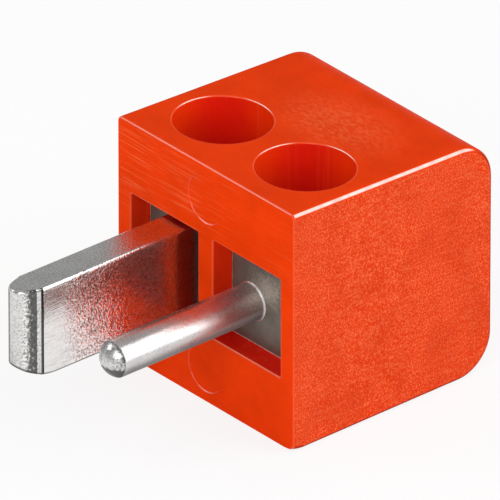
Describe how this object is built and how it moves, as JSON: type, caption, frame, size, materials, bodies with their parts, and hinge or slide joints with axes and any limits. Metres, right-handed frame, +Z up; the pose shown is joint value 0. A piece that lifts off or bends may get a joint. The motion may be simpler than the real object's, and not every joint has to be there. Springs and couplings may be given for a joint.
{
  "type": "speaker plug",
  "caption": "Loudspeaker plug with a flat blade and a round pin on a moulded housing, with screw terminals reached through holes in its top.",
  "frame": {"origin": "middle of the mating face, at the blade's mid-height", "axes": "+X from the blade to the pin, +Y back along the plug to the wire entries, +Z up through the screwdriver holes"},
  "size_m": [0.016, 0.0281, 0.016],
  "materials": {
    "housing": "satin",
    "blade_contact": "satin",
    "pin_contact": "polished",
    "blade_clamp_screw": "satin",
    "pin_clamp_screw": "satin"
  },
  "bodies": {
    "plug": {"housing": "housing", "blade_contact": "blade_contact", "pin_contact": "pin_contact"},
    "blade_screw": {"blade_clamp_screw": "blade_clamp_screw"},
    "pin_screw": {"pin_clamp_screw": "pin_clamp_screw"}
  },
  "joints": [
    {"name": "blade_screw_travel", "type": "slide", "parent": "plug", "child": "blade_screw", "axis": [0, 0, 1], "range_m": [-0.0028, 0]},
    {"name": "pin_screw_travel", "type": "slide", "parent": "plug", "child": "pin_screw", "axis": [0, 0, 1], "range_m": [-0.0028, 0]}
  ]
}
